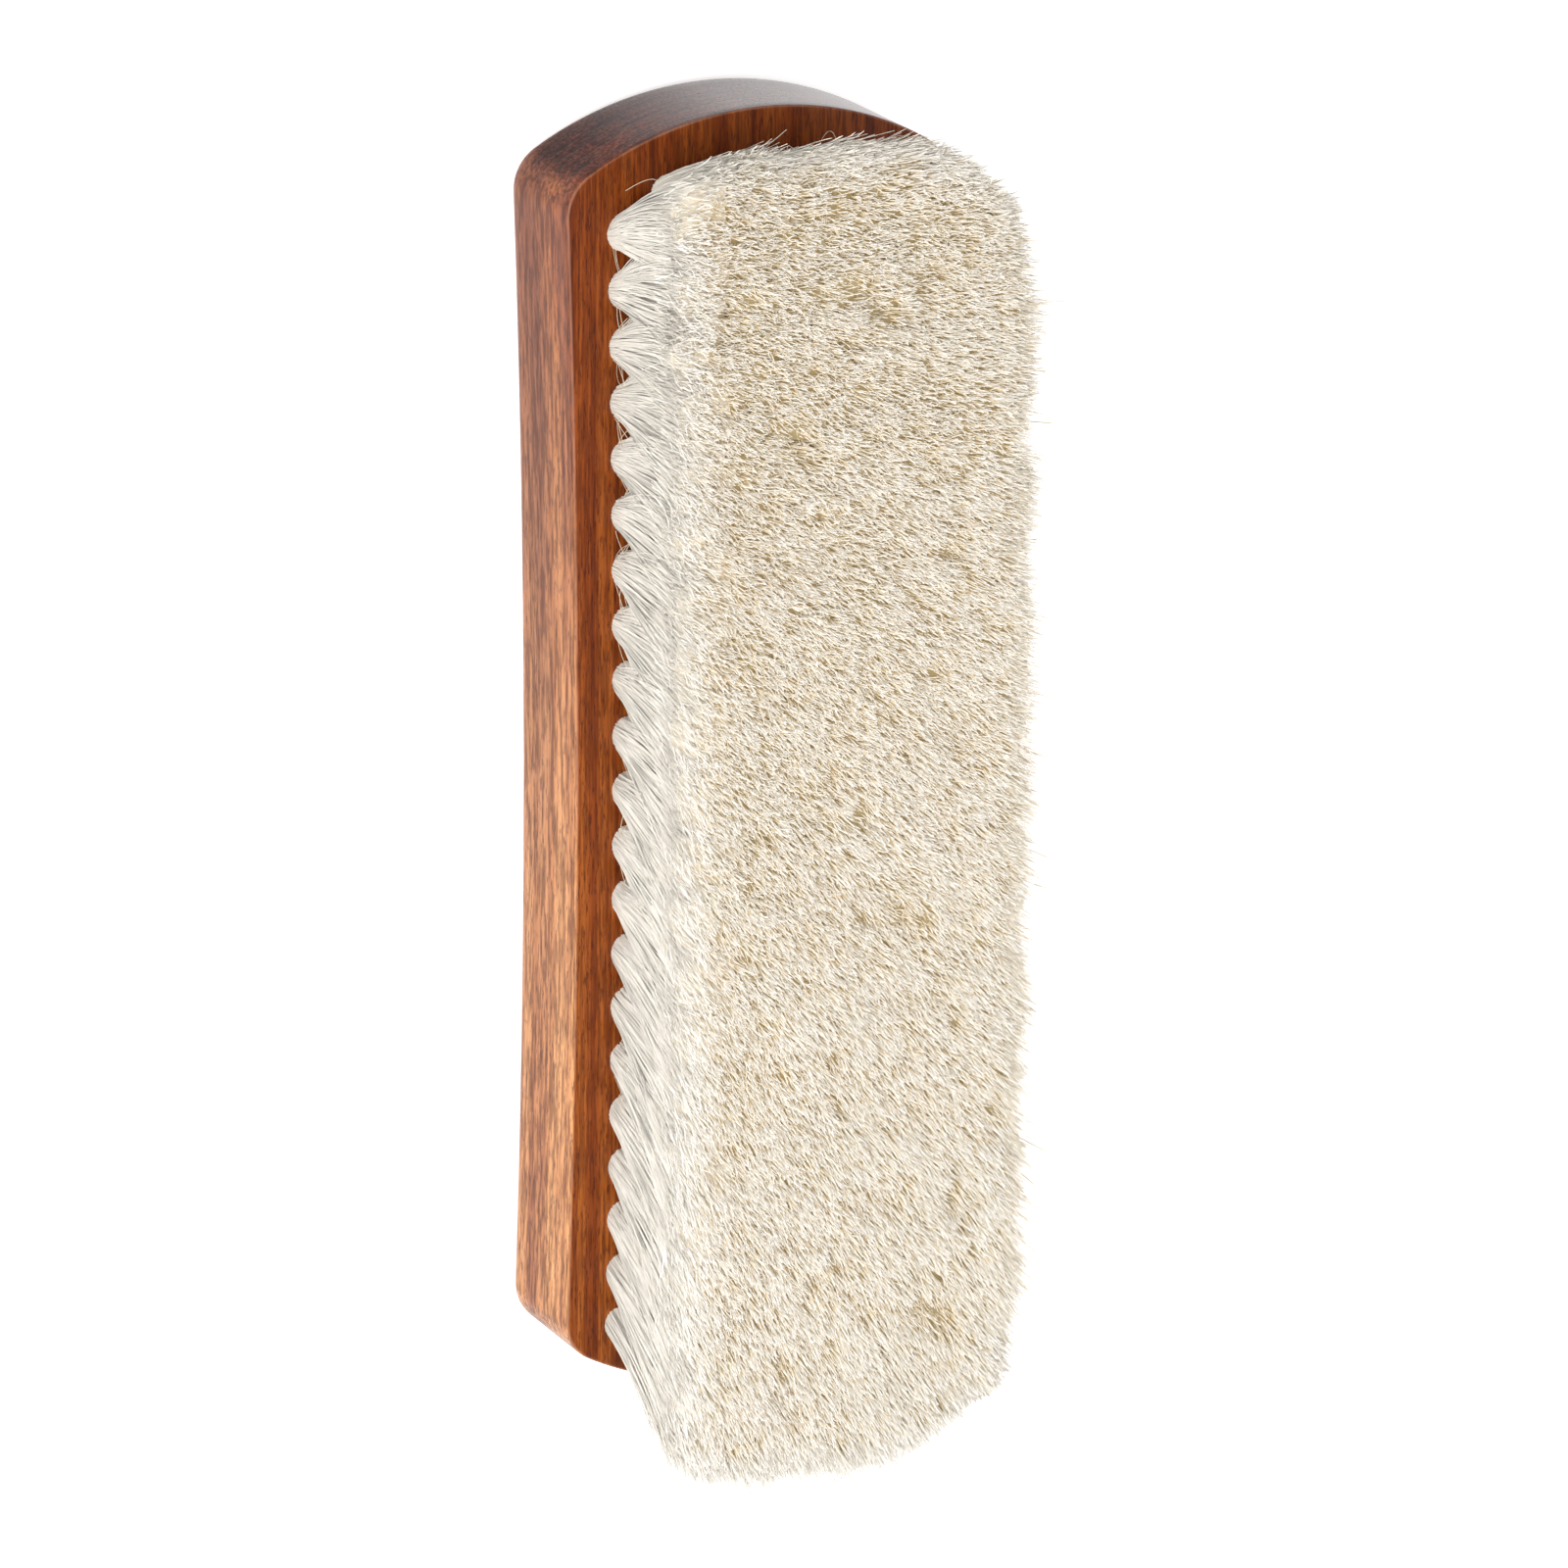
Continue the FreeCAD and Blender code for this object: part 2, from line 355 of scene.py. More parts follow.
def rising(values, start, width):
    """0 up to a start, 1 from a width past it on, and even in between."""
    return np.clip((values - start) / width, 0, 1)


# Block

def arc_points(centre, start, end, steps):
    """Points on a short arc from start towards end, without its last point."""
    first = math.atan2(*(start - centre)[::-1])
    turn = math.atan2(*(end - centre)[::-1]) - first
    turn = (turn + math.pi) % FULL_TURN - math.pi
    radius = np.linalg.norm(start - centre)
    angles = first + turn * np.arange(steps) / steps
    return centre + radius * np.stack([np.cos(angles), np.sin(angles)], 1)


def block_outline(inset):
    """Plan outline of the block, drawn in by an inset: bowed ends, waisted sides, rounded corners."""
    corner_x = half_length - END_RISE
    end_radius = (HALF_WIDTH ** 2 + END_RISE ** 2) / (2 * END_RISE)
    side_radius = (corner_x ** 2 + WAIST_DEPTH ** 2) / (2 * WAIST_DEPTH)
    end_centre = np.array([half_length - end_radius, 0])
    side_centre = np.array([0, HALF_WIDTH - WAIST_DEPTH + side_radius])
    from_end = end_radius - CORNER_ROUND
    from_side = side_radius + CORNER_ROUND
    apart = side_centre - end_centre
    distance = np.linalg.norm(apart)
    along = (from_end ** 2 - from_side ** 2 + distance ** 2) / (2 * distance)
    aside = math.sqrt(from_end ** 2 - along ** 2)
    corner_centre = end_centre + (apart * along + np.array([apart[1], -apart[0]]) * aside) / distance
    end_limit = end_centre + unit(corner_centre - end_centre) * (end_radius - inset)
    side_limit = side_centre + unit(corner_centre - side_centre) * (side_radius + inset)
    flip_y = np.array([1, -1])
    flip_x = np.array([-1, 1])
    half = np.concatenate([
        arc_points(end_centre, end_limit * flip_y, end_limit, END_STEPS),
        arc_points(corner_centre, end_limit, side_limit, CORNER_STEPS),
        arc_points(side_centre, side_limit, side_limit * flip_x, SIDE_STEPS),
        arc_points(corner_centre * flip_x, side_limit * flip_x, end_limit * flip_x, CORNER_STEPS),
    ])
    return np.concatenate([half, -half])


def quarter_turn(steps):
    """Angles round an edge, from its one face to the other."""
    return np.radians(np.linspace(0, 90, steps))


def block_rings():
    """(inset, height, wear) of each ring of the block's wall, from the back to the bristle face."""
    rings = []
    for angle in quarter_turn(BACK_RINGS):
        rings.append((BACK_ROUND * (1 - math.sin(angle)), BACK_ROUND * (1 - math.cos(angle)), BACK_WEAR))
    for share in WALL_SHARES:
        rings.append((0, BACK_ROUND + share * (block_height - BACK_ROUND), 0))
    edge_start = block_height - FACE_EDGE_ROUND
    for angle, worn in zip(quarter_turn(len(FACE_EDGE_WEAR)), FACE_EDGE_WEAR):
        inset = FACE_EDGE_ROUND * (1 - math.cos(angle))
        rings.append((inset, edge_start + FACE_EDGE_ROUND * math.sin(angle), worn))
    rings.append((FACE_EDGE_ROUND + FACE_LAND, block_height, 0))
    return rings


def drilled_face(outline):
    """Points of the bristle face, its outline's and then each mouth's, and the triangles between them."""
    turns = FULL_TURN * np.arange(HOLE_SIDES) / HOLE_SIDES
    circle = HOLE_RADIUS * np.stack([np.cos(turns), np.sin(turns)], 1)
    loops = [outline] + [mouth[:2] + circle for row in mouths for mouth in row]
    points, edges = [], []
    for loop in loops:
        first = len(points)
        points += [Vector(point) for point in loop]
        edges += [(first + i, first + (i + 1) % len(loop)) for i in range(len(loop))]
    triangles_inside = 1
    found = geometry.delaunay_2d_cdt(points, edges, [], triangles_inside, MERGE)
    flat = np.array([tuple(point) for point in found[0]])
    triangles = np.array(found[2])
    from_holes = flat[triangles].mean(1)[:, None] - np.concatenate(mouths)[:, :2]
    outside = np.linalg.norm(from_holes, axis=2).min(1) > INSIDE_HOLE * HOLE_RADIUS
    return flat, triangles[outside].tolist()


def ring_quads(low, high):
    """Quads between two closed rings, from their points' numbers."""
    count = len(low)
    return [(low[i], low[(i + 1) % count], high[(i + 1) % count], high[i]) for i in range(count)]


def build_block():
    """The block as one closed mesh: wall, back, drilled face, and the wall and floor of each hole."""
    rings = block_rings()
    count = len(block_outline(0))
    points, faces, wear = [], [], []
    for inset, height, worn in rings:
        points += [(x, y, height) for x, y in block_outline(inset)]
        wear += [worn] * count
    last_ring = len(points) - count
    for start in range(0, last_ring, count):
        faces += ring_quads(range(start, start + count), range(start + count, start + 2 * count))
    faces.append(tuple(reversed(range(count))))
    flat, triangles = drilled_face(block_outline(rings[-1][0]))
    # the face's first points are the last ring's
    rim_start = len(points)
    points += [(x, y, block_height) for x, y in flat[count:]]
    faces += [tuple(last_ring + i for i in triangle) for triangle in triangles]
    for mouth, floor in zip(np.concatenate(mouths), np.concatenate(floors)):
        rim = range(rim_start, rim_start + HOLE_SIDES)
        bottom = range(len(points), len(points) + HOLE_SIDES)
        offset = floor - mouth
        points += [tuple(np.array(points[i]) + offset) for i in rim]
        faces += ring_quads(rim, bottom)
        faces.append(tuple(bottom))
        rim_start += HOLE_SIDES
    wear += [0] * (len(points) - len(wear))
    block = new_mesh("brush_block", points, faces)
    block.data.attributes.new("wear", "FLOAT", "POINT").data.foreach_set("value", wear)
    block.data.shade_smooth()
    block.data.set_sharp_from_angle(angle=SHARP_EDGE)
    return block


# Trimmed field of tips

def by_sign(values, signs):
    """The value for each sign, from the values for 1 and -1."""
    return np.where(signs > 0, values[1], values[-1])


def straight_reach(end, across):
    """How far the tips would reach along X at an end without the rounded corners."""
    return by_sign(FIELD_ENDS, end) - by_sign(FIELD_SKEW, end) * np.maximum(across, 0)


def corner_middle(across):
    """Corner radius on the side of places across the brush, and how far across the rounding starts."""
    radius = by_sign(FIELD_CORNERS, across)
    return radius, by_sign(FIELD_SIDES, across) - radius


def end_reach(end, across):
    """How far the tips reach along X at an end, at places across the brush."""
    radius, start = corner_middle(across)
    past = np.clip(abs(across) - start, 0, radius)
    return straight_reach(end, across) - radius + np.sqrt(radius ** 2 - past ** 2)


def rim_distances(places):
    """How far tips stand inside the ends and the sides of the field."""
    to_end = end_reach(places[:, 0], places[:, 1]) - abs(places[:, 0])
    to_side = by_sign(FIELD_SIDES, places[:, 1]) - abs(places[:, 1])
    return to_end, to_side


def lumps(places):
    """Smooth random field over the tips: how they lean along X and Y, and how high they stand."""
    random = np.random.default_rng(LUMP_SEED)
    waves = random.normal(0, FULL_TURN / LUMP_SIZE, (LUMP_WAVES, 2))
    phases = random.uniform(0, FULL_TURN, LUMP_WAVES)
    weights = random.normal(0, 1, (LUMP_WAVES, 3)) / math.sqrt(LUMP_WAVES)
    return np.sin(places @ waves.T + phases) @ weights


def pits(places):
    """How much shorter the hair is, in small hollows scattered over the tips."""
    random = np.random.default_rng(PIT_SEED)
    centres = random.uniform(-1, 1, (PIT_COUNT, 2)) * (FIELD_ENDS[1], FIELD_SIDES[1])
    sizes = random.uniform(*PIT_SIZES, PIT_COUNT)
    inside = np.minimum(*rim_distances(centres))
    depths = random.uniform(*PIT_DEPTHS, PIT_COUNT) * rising(inside, PIT_CLEAR, PIT_FADE)
    apart = np.linalg.norm(places[:, None] - centres, axis=2) / sizes
    return (np.exp(-apart ** 2) * depths).sum(1)


def rim_drop(places):
    """How much lower the tips are near the rim of the field."""
    near_end, near_side = (np.clip(1 - far / RIM_SOFT, 0, PAST_RIM) ** 2 for far in rim_distances(places))
    return np.maximum(near_end * END_DROP, near_side * by_sign(SIDE_DROP, places[:, 1]))


def reach_rim(places, centre, end, side):
    """Stretches the tips of a tuft on the rim, so that the field's rim is one even line."""
    places = places.copy()
    if end:
        out = np.maximum((places[:, 0] - centre[0]) * end, 0) / TIP_HALF[0]
        room = end_reach(end, places[:, 1]) - centre[0] * end
        places[:, 0] += end * out * (room - TIP_HALF[0])
    if side:
        out = np.maximum((places[:, 1] - centre[1]) * side, 0) / TIP_HALF[1]
        room = FIELD_SIDES[side] - centre[1] * side
        places[:, 1] += side * out * (room - TIP_HALF[1])
    return places


def round_corners(places):
    """Draws in the tips that stand outside the field's rounded corners."""
    radius, start = corner_middle(places[:, 1])
    middle = np.stack([straight_reach(*places.T) - radius, start], 1)
    past = np.maximum(abs(places) - middle, 0)
    distance = np.linalg.norm(past, axis=1)
    shrink = np.minimum(radius / np.maximum(distance, TINY), 1)
    return (np.minimum(abs(places), middle) + past * shrink[:, None]) * np.sign(places)


# Lie of the hair. The end and side of a tuft are 1 or -1 where it stands on the rim of the field, and else 0.

Tuft = namedtuple("Tuft", "mouth axis end side")


def outward(tuft):
    """The way out of the field from a tuft, along X and Y."""
    return np.array([tuft.end, tuft.side])


def flare(share):
    """How far a tuft has spread at a share of its height."""
    return 1 - (1 - np.maximum(share, 0)) ** FLARE


def on_disc(reach, turn):
    """Points of the unit disc, from their distances and directions."""
    return np.stack([reach * np.cos(turn), reach * np.sin(turn)], 1)


def squared(disc):
    """Points of the unit disc, spread into a square with soft corners."""
    reach = np.linalg.norm(disc, axis=1, keepdims=True)
    to_square = ((disc / reach) ** SQUARENESS).sum(1, keepdims=True) ** (-1 / SQUARENESS)
    return disc * to_square


def bundle(tuft, disc, spread, lean, curl, cut, shares):
    """Lines from places in a tuft's hole to places in the tip field, as an array of lines by shares by 3."""
    straight = tuft.mouth[:2] + tuft.axis[:2] * bristle_height
    centre = straight + (SWEEP + BRUSHED, 0)
    places = reach_rim(centre + squared(spread) * TIP_HALF, centre, tuft.end, tuft.side)
    places = round_corners(places)
    field = lumps(places)
    lean = lean + LUMP_LEAN * field[:, :2] + (BRUSHED, 0)
    height = bristle_height + cut + LUMP_RISE * field[:, 2] - pits(places) - rim_drop(places)
    opened = flare(shares)[..., None]
    spread_out = places - straight - (BRUSHED, 0)
    offset = disc[:, None] * ROOT_RADIUS * (1 - opened) + spread_out[:, None] * opened
    offset = offset + lean[:, None] * (shares ** 2)[..., None]
    bent = rising(shares, CURL_START, 1 - CURL_START) ** 2
    offset = offset + curl[:, None] * bent[..., None]
    rise = height[:, None] * shares
    lines = np.empty((*rise.shape, 3))
    lines[:, :, :2] = tuft.mouth[:2] + offset + rise[:, :, None] * tuft.axis[:2]
    lines[:, :, 2] = block_height + rise
    return lines


def rim_share(tuft, disc):
    """How near places in a tuft are to the rim of the field: 0 to 1."""
    return rising(disc @ outward(tuft), RIM_START, RIM_WIDTH)


def along_rim(tuft, spread):
    """Draws strands on the side of a tuft out to the rim, so that neighbouring tufts close up at the tips."""
    outwards = unit(outward(tuft))
    drawn = CORNER_DRAWN if tuft.end and tuft.side else RIM_DRAWN
    return spread + np.outer(drawn * (1 - spread @ outwards), outwards)


def fuzz_lean(tuft):
    """How far the hair at the rim leans out, along X and Y. The +Y side stays trim."""
    lean = np.array([tuft.end * END_FUZZ[tuft.end], min(tuft.side, 0) * SIDE_FUZZ])
    if tuft.end and tuft.side:
        lean = lean * CORNER_FUZZ
    return lean


def strand_paths(tuft, disc, spread, kind, random):
    """Centre lines of strands from places in a tuft's hole. They stick together in small clumps."""
    count = len(disc)
    clumps = max(count // CLUMP_SIZE, 1)
    clump = ((disc[:, None] - disc[:clumps]) ** 2).sum(2).argmin(1)
    pull = CLUMP_PULL * random.random((count, 1))
    spread = spread * (1 - pull) + spread[clump] * pull + random.normal(0, kind.jitter, (count, 2))
    lean = random.normal(0, CLUMP.lean, (clumps, 2))[clump] + random.normal(0, STRAND.lean, (count, 2))
    wild = random.random(count) < WILD_SHARE
    lean[wild] *= WILD_LEAN
    fuzz = rim_share(tuft, disc) * random.exponential(1, count)
    lean += fuzz_lean(tuft) * fuzz[:, None]
    curls = random.normal(0, CLUMP.curl * kind.curl, (clumps, 2))[clump]
    curls += random.normal(0, STRAND.curl * kind.curl, (count, 2))
    cut = random.normal(0, CLUMP.cut, clumps)[clump] + random.normal(0, STRAND.cut, count)
    cut -= SHORT_CUT * random.random(count) ** SHORT_POWER + kind.ragged * random.exponential(1, count)
    return bundle(tuft, disc, spread, lean, curls, cut, kind.shares)


def tip_places(count, random):
    """Places that fill a tuft evenly."""
    return on_disc(np.sqrt(random.random(count)), FULL_TURN * random.random(count))


def side_places(tuft, count, random):
    """Places on the outer side of a tuft on the rim."""
    turn = math.atan2(tuft.side, tuft.end) + SIDE_TURN * random.uniform(-1, 1, count)
    return on_disc(random.uniform(*SIDE_REACH, count), turn)


def core_points(tuft, floor):
    """Rings of a tuft's dense core, from the floor of its hole to just under the tips."""
    disc = on_disc(1, FULL_TURN * np.arange(CORE_SIDES) / CORE_SIDES)
    outwards = np.clip(INSET_GROWTH * disc @ outward(tuft), 0, 1)[:, None]
    disc = disc * (CORE_SHARE - CORE_INSET * outwards)
    still = np.zeros_like(disc)
    cut = np.full(CORE_SIDES, -CORE_DEPTH)
    lines = bundle(tuft, disc * ROOT_SHARE, disc, still, still, cut, CORE_SHARES)
    rings = lines.transpose(1, 0, 2)
    bottom = rings[0] + (floor - tuft.mouth)
    top = rings[-1].mean(0) + (rings[-1] - rings[-1].mean(0)) * CORE_TOP
    return np.concatenate([[bottom], rings, [top]])[None]


def strand_radii(tuft, disc, kind, random):
    """Strand radius at each ring: even, then drawn to a fine tip, and finer at the rim."""
    own = kind.radius * random.uniform(*THICKNESS, len(disc))
    own = own * (1 - (1 - RIM_THIN) * rim_share(tuft, disc))
    taper = np.interp(kind.shares, [TAPER_START, 1], [1, FINE_TIP])
    return own[:, None] * taper


def tubes(paths, radii, random):
    """Points of thin tubes round centre lines, and the directions in which those points face."""
    along = unit(np.gradient(paths, axis=1))
    across = unit(np.cross(along, SIDES_FROM))
    other = np.cross(along, across)
    turns = FULL_TURN * (random.random((len(paths), 1, 1)) + np.arange(STRAND_SIDES) / STRAND_SIDES)
    facing = np.cos(turns)[..., None] * across[:, :, None] + np.sin(turns)[..., None] * other[:, :, None]
    return paths[:, :, None] + facing * radii[..., None, None], facing


# Shading of the hair

def rim_facing(tuft):
    """How the hair of the rim is shaded: outwards on the +Y side, and elsewhere nearly as the tips are."""
    facing = SHOWN_RIM if tuft.side > 0 else OTHER_RIM
    return facing * (tuft.end, 1, 1)


def soft_facing(facing, paths, tuft, kind, near_rim):
    """Turns strand normals towards those of the whole tuft: outwards on its sides, and up at its tips."""
    out = paths - tuft.mouth - tuft.axis * (bristle_height * kind.shares)[..., None]
    out[:, :, 2] = 0
    out /= np.maximum(np.linalg.norm(out, axis=2, keepdims=True), TINY)
    out = (1 - RIM_FACING) * out + RIM_FACING * rim_facing(tuft)
    top = np.array([0, 0, 1]) + TOP_FACING * near_rim[:, None, None] * rim_facing(tuft)
    up_share = rising(kind.shares, UP_START, UP_WIDTH)[..., None]
    tuft_facing = out * (1 - up_share) + unit(top) * up_share
    return unit(facing * (1 - kind.facing) + tuft_facing[:, :, None] * kind.facing)


def core_facing(points, tuft):
    """Normals of a core: outwards from its middle and from the field, and up on its top."""
    facing = unit(points - points.mean(2, keepdims=True))
    facing = (1 - RIM_FACING) * facing + RIM_FACING * rim_facing(tuft)
    facing[:, -1] = (0, 0, 1)
    return unit(facing)


def near_rim_share(paths, random):
    """How much each strand belongs to the rim of the tips: 0 to 1."""
    inside = np.minimum(*rim_distances(paths[:, -1, :2]))
    return np.clip(PALE_EDGE - inside / PALE_RIM + random.normal(0, PALE_UNEVEN, len(paths)), 0, 1)


def painted_tan_shade(paths, kind, pale, outer):
    """Painted warm shade, as tan, of strands at each ring: more deeper in the field and at sunk tips, less at
    a pale rim and on its outside.
    """
    tips = paths[:, -1]
    sunk = np.clip((tip_height - SUNK_START - rim_drop(tips[:, :2]) - tips[:, 2]) / DEEP, 0, 1)
    tan_and_shade = (1 - kind.shares) * bristle_height / DEEP + SUNK_SHADE_TAN * sunk[:, None]
    tan_and_shade = np.clip(tan_and_shade, 0, MOST_SHADE_TAN) * (1 - pale)[:, None]
    tan_and_shade[:, :-TIP_RINGS] *= 1 - outer[:, None]
    return tan_and_shade


# Meshes of hair

def tube_quads(index):
    """Quads between the rings of tubes, from their points' numbers: tubes by rings by sides."""
    after = np.roll(index, -1, axis=2)
    corners = [index[:, :-1], after[:, :-1], after[:, 1:], index[:, 1:]]
    return np.stack(corners, -1).reshape(-1, 4)


def quad_map(rings, sides):
    """Places of one tube's quads in its cell of the map."""
    around = np.linspace(*MAP_AROUND, sides + 1)
    up = np.linspace(*MAP_UP, rings)
    places = np.empty((rings - 1, sides, 4, 2))
    places[..., 0] = np.stack([around[:-1], around[1:], around[1:], around[:-1]], 1)
    places[..., 1] = np.stack([up[:-1], up[:-1], up[1:], up[1:]], 1)[:, None]
    return places


def tube_faces(shape, first_point, first_cell, grid):
    """Walls and caps of closed tubes, each as the faces' corners and those corners' places in the map."""
    count, rings, sides = shape
    index = first_point + np.arange(count * rings * sides).reshape(shape)
    cells = first_cell + np.arange(count)
    corner = np.stack([cells % grid, cells // grid], 1)
    wall_places = corner[:, None, None, None] + quad_map(rings, sides)
    cell_middle = corner + 0.5
    cap_places = np.repeat(cell_middle, sides, axis=0)
    return [
        (tube_quads(index), wall_places.reshape(-1, 2) / grid),
        (index[:, 0, ::-1], cap_places / grid),
        (index[:, -1], cap_places / grid),
    ]


def mesh_of_faces(name, points, groups):
    """Mesh from points in millimetres and groups of faces, each an array with one row of corners per face."""
    corners = np.concatenate([group.ravel() for group in groups])
    sizes = np.concatenate([np.full(len(group), group.shape[1]) for group in groups])
    mesh = bpy.data.meshes.new(name)
    mesh.vertices.add(len(points))
    mesh.vertices.foreach_set("co", (points * MM).astype(np.float32).ravel())
    mesh.loops.add(len(corners))
    mesh.loops.foreach_set("vertex_index", corners.astype(np.int32))
    mesh.polygons.add(len(sizes))
    mesh.polygons.foreach_set("loop_start", (np.cumsum(sizes) - sizes).astype(np.int32))
    mesh.update(calc_edges=True)
    return mesh


class HairMesh:
    """Collects tubes of hair and makes them one mesh. Each tube has a shade and its own cell of the map."""

    def __init__(self, name):
        self.name = name
        self.batches = []

    def add(self, points, facing, tan_and_shade, shade):
        """Takes points and normals (tubes by rings by sides), painted tan shade (tubes by rings) and shades
        (tubes).
        """
        shape = points.shape[:3]
        tan_and_shade = np.broadcast_to(tan_and_shade[:, :, None], shape)
        shade = np.broadcast_to(shade[:, None, None], shape)
        self.batches.append((points, facing, tan_and_shade, shade))

    def faces(self):
        """All faces and map places, in the order of the tubes."""
        grid = math.ceil(math.sqrt(sum(len(batch[0]) for batch in self.batches)))
        first_point = 0
        first_cell = 0
        found = []
        for points, *_ in self.batches:
            found += tube_faces(points.shape[:3], first_point, first_cell, grid)
            first_point += points.size // 3
            first_cell += len(points)
        return found

    def build(self):
        """The mesh object, with its painted tan shade, shades, map and soft normals."""
        points, facing = (np.concatenate([b[i].reshape(-1, 3) for b in self.batches]) for i in (0, 1))
        tan_and_shade, shade = (np.concatenate([b[i].ravel() for b in self.batches]) for i in (2, 3))
        faces = self.faces()
        mesh = mesh_of_faces(self.name, points, [corners for corners, _ in faces])
        for name, values in (("tan_and_shade", tan_and_shade), ("shade", shade)):
            layer = mesh.attributes.new(name, "FLOAT", "POINT")
            layer.data.foreach_set("value", values.astype(np.float32))
        places = np.concatenate([places for _, places in faces])
        layer = mesh.uv_layers.new(name="OFBake", do_init=False)
        layer.uv.foreach_set("vector", places.astype(np.float32).ravel())
        mesh.shade_smooth()
        mesh.normals_split_custom_set_from_vertices(facing)
        return new_object(self.name, mesh)


# Tufts

def uneven(kind, rings, amount, count, random):
    """The same kind of strands, with some of its rings at uneven heights."""
    shares = np.tile(kind.shares, (count, 1))
    shares[:, rings] += random.uniform(-amount, amount, shares[:, rings].shape)
    return kind._replace(shares=shares)


def add_tip_strands(hair, tuft, count, random):
    """Adds the strands whose trimmed tips fill the field over a tuft."""
    kind = TIP
    if tuft.side < 0 or tuft.end and not tuft.side:
        first_ring = slice(0, 1)
        kind = uneven(RIM_TIP, first_ring, RIM_UNEVEN, count, random)
    disc = tip_places(count, random)
    paths = strand_paths(tuft, disc, disc, kind, random)
    points, facing = tubes(paths, strand_radii(tuft, disc, kind, random), random)
    near_rim = near_rim_share(paths, random)
    outer = rim_share(tuft, disc)
    # painted warm shade under the tips, paler at the rim
    tan_and_shade = painted_tan_shade(paths, kind, near_rim * PALE_SIDE[tuft.side], outer)
    facing = soft_facing(facing, paths, tuft, kind, near_rim)
    # painted shade at the lit +Y rim
    shade = random.uniform(*TIP_SHADE, count) * (1 - RIM_DARKER * outer * max(tuft.side, 0))
    hair.add(points, facing, tan_and_shade, shade)


def add_side_strands(hair, tuft, count, random):
    """Adds the strands on the outer side of a tuft on the rim. Their rings are set at uneven heights."""
    inner_rings = slice(1, -1)
    kind = uneven(SIDE, inner_rings, SIDE_UNEVEN, count, random)
    disc = side_places(tuft, count, random)
    paths = strand_paths(tuft, disc, along_rim(tuft, disc), kind, random)
    points, facing = tubes(paths, strand_radii(tuft, disc, kind, random), random)
    facing = soft_facing(facing, paths, tuft, kind, np.ones(count))
    # painted warm shade on the shaded ends and -Y side
    tan_and_shade = np.full(paths.shape[:2], SIDE_SHADE_TAN * (1 - PALE_SIDE[tuft.side]))
    # shades by side: painted light, lighter on the shaded ends and -Y side
    hair.add(points, facing, tan_and_shade, random.uniform(*SIDE_SHADE[tuft.side], count))


def add_core(hair, tuft, floor):
    """Adds a tuft's dense core to a mesh."""
    points = core_points(tuft, floor)
    tan_and_shade = np.zeros(points.shape[:2])
    # painted shade on the core's top, seen in the pits
    tan_and_shade[:, -1] = CORE_TOP_SHADE_TAN[tuft.side]
    # the core's shade by side is painted light
    hair.add(points, core_facing(points, tuft), tan_and_shade, np.full(1, CORE_SHADE[tuft.side]))


def build_cross_row(number):
    """All strands of one cross-row of tufts."""
    random = np.random.default_rng(ROW_SEED + number)
    hair = HairMesh("hair_" + cross_rows[number][-2:])
    thin = 1
    last_row = len(mouths[number]) - 1
    last_number = len(cross_rows) - 1
    end = int(number == last_number) - int(number == 0)
    for row, (mouth, floor) in enumerate(zip(mouths[number], floors[number])):
        axis = (mouth - floor) / (mouth[2] - floor[2])
        side = int(row == last_row) - int(row == 0)
        tuft = Tuft(mouth, axis, end, side)
        add_tip_strands(hair, tuft, int(TIP.count * thin), random)
        if end or side:
            add_side_strands(hair, tuft, int(SIDE.count * thin), random)
        add_core(hair, tuft, floor)
    return hair.build()


# Loose hairs

def bowed(start, end, bow):
    """Points of curves from start to end that bow aside half way: arrays of one row per curve."""
    share = np.linspace(0, 1, STRAY_RINGS)[:, None]
    return start[:, None] * (1 - share) + end[:, None] * share + bow[:, None] * 4 * share * (1 - share)


def scattered(span, count, flips, random):
    """Random offsets within a range, turned over along X, Y and Z by signs."""
    return random.uniform(*span, (count, 3)) * flips


def gap_hairs(side, random):
    """Loose hairs that cross the gaps between the roots of neighbouring tufts on one long side."""
    row = -1 if side > 0 else 0
    flips = (1, side, 1)
    roots = np.array([row_mouths[row] for row_mouths in mouths])
    towards_end = np.sqrt(random.random(GAP_HAIRS))
    pick = ((len(roots) - 1) * towards_end).astype(int)
    swapped = random.random(GAP_HAIRS) < 0.5
    high = scattered(GAP_HIGH, GAP_HAIRS, flips, random)
    low = scattered(GAP_LOW, GAP_HAIRS, flips, random)
    high[swapped, 0] *= -1
    low[swapped, 0] *= -1
    start = roots[pick + swapped] + high
    stop = roots[pick + 1 - swapped] + low
    return bowed(start, stop, scattered(GAP_BOW, GAP_HAIRS, flips, random))


def end_hairs(end, random):
    """Loose hairs that loop out from the tufts of an end, over the wood."""
    row_mouths = mouths[-1] if end > 0 else mouths[0]
    flips = (end, 1, 1)
    roots = row_mouths[random.integers(0, len(row_mouths), END_HAIRS)]
    start = roots + scattered(END_FROM, END_HAIRS, flips, random)
    stop = start + scattered(END_ALONG, END_HAIRS, flips, random)
    return bowed(start, stop, scattered(END_BOW, END_HAIRS, flips, random))


def tip_hairs(random):
    """Loose hairs that lie on the trimmed tips."""
    as_given = (1, 1, 1)
    start = scattered(TIP_FROM, TIP_HAIRS, as_given, random) + (0, 0, tip_height)
    stop = start + scattered(TIP_ALONG, TIP_HAIRS, as_given, random)
    return bowed(start, stop, random.normal(0, 1, (TIP_HAIRS, 3)) * TIP_BOW)


